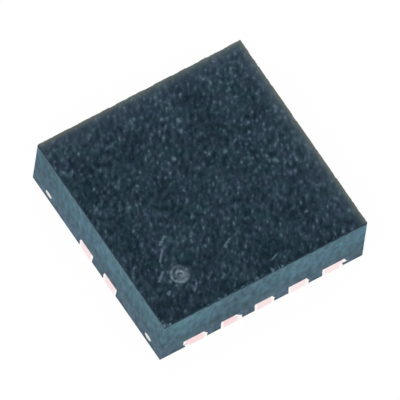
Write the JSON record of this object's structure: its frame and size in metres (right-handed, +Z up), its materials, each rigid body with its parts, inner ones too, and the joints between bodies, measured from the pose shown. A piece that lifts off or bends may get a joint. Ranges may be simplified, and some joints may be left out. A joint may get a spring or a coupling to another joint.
{
  "type": "dc-dc converter chip",
  "caption": "Square leadless power converter chip: moulded body with sawn sides, two rows of flush solder terminals, a thermal pad below and a round pin 1 mark on top.",
  "frame": {"origin": "centre of the footprint, on the plane of the solder lands that the chip rests on", "axes": "+Z up through the moulded top, X along the rows of terminals, terminal 1 at the -X end of the -Y row"},
  "size_m": [0.003, 0.003, 0.0009],
  "materials": {
    "moulding_epoxy": "matte moulding epoxy, spark-eroded top and sawn sides",
    "plated_copper": "satin plated copper with sawn ends",
    "silicon": "polished silicon",
    "silver_epoxy": "silver-filled epoxy",
    "gold_wire": "drawn gold wire"
  },
  "bodies": {
    "root": {"mould_body": "moulding_epoxy", "thermal_pad": "plated_copper", "terminal_1": "plated_copper", "terminal_2": "plated_copper", "terminal_3": "plated_copper", "terminal_4": "plated_copper", "terminal_5": "plated_copper", "terminal_6": "plated_copper", "terminal_7": "plated_copper", "terminal_8": "plated_copper", "terminal_9": "plated_copper", "terminal_10": "plated_copper", "silicon_die": "silicon", "die_attach": "silver_epoxy", "bond_wire_1a": "gold_wire", "bond_wire_1b": "gold_wire", "bond_wire_2a": "gold_wire", "bond_wire_2b": "gold_wire", "bond_wire_3": "gold_wire", "bond_wire_4": "gold_wire", "bond_wire_5": "gold_wire", "bond_wire_6": "gold_wire", "bond_wire_7": "gold_wire", "bond_wire_8": "gold_wire", "bond_wire_9a": "gold_wire", "bond_wire_9b": "gold_wire", "bond_wire_10a": "gold_wire", "bond_wire_10b": "gold_wire", "ground_wire_1": "gold_wire", "ground_wire_2": "gold_wire"}
  },
  "joints": []
}
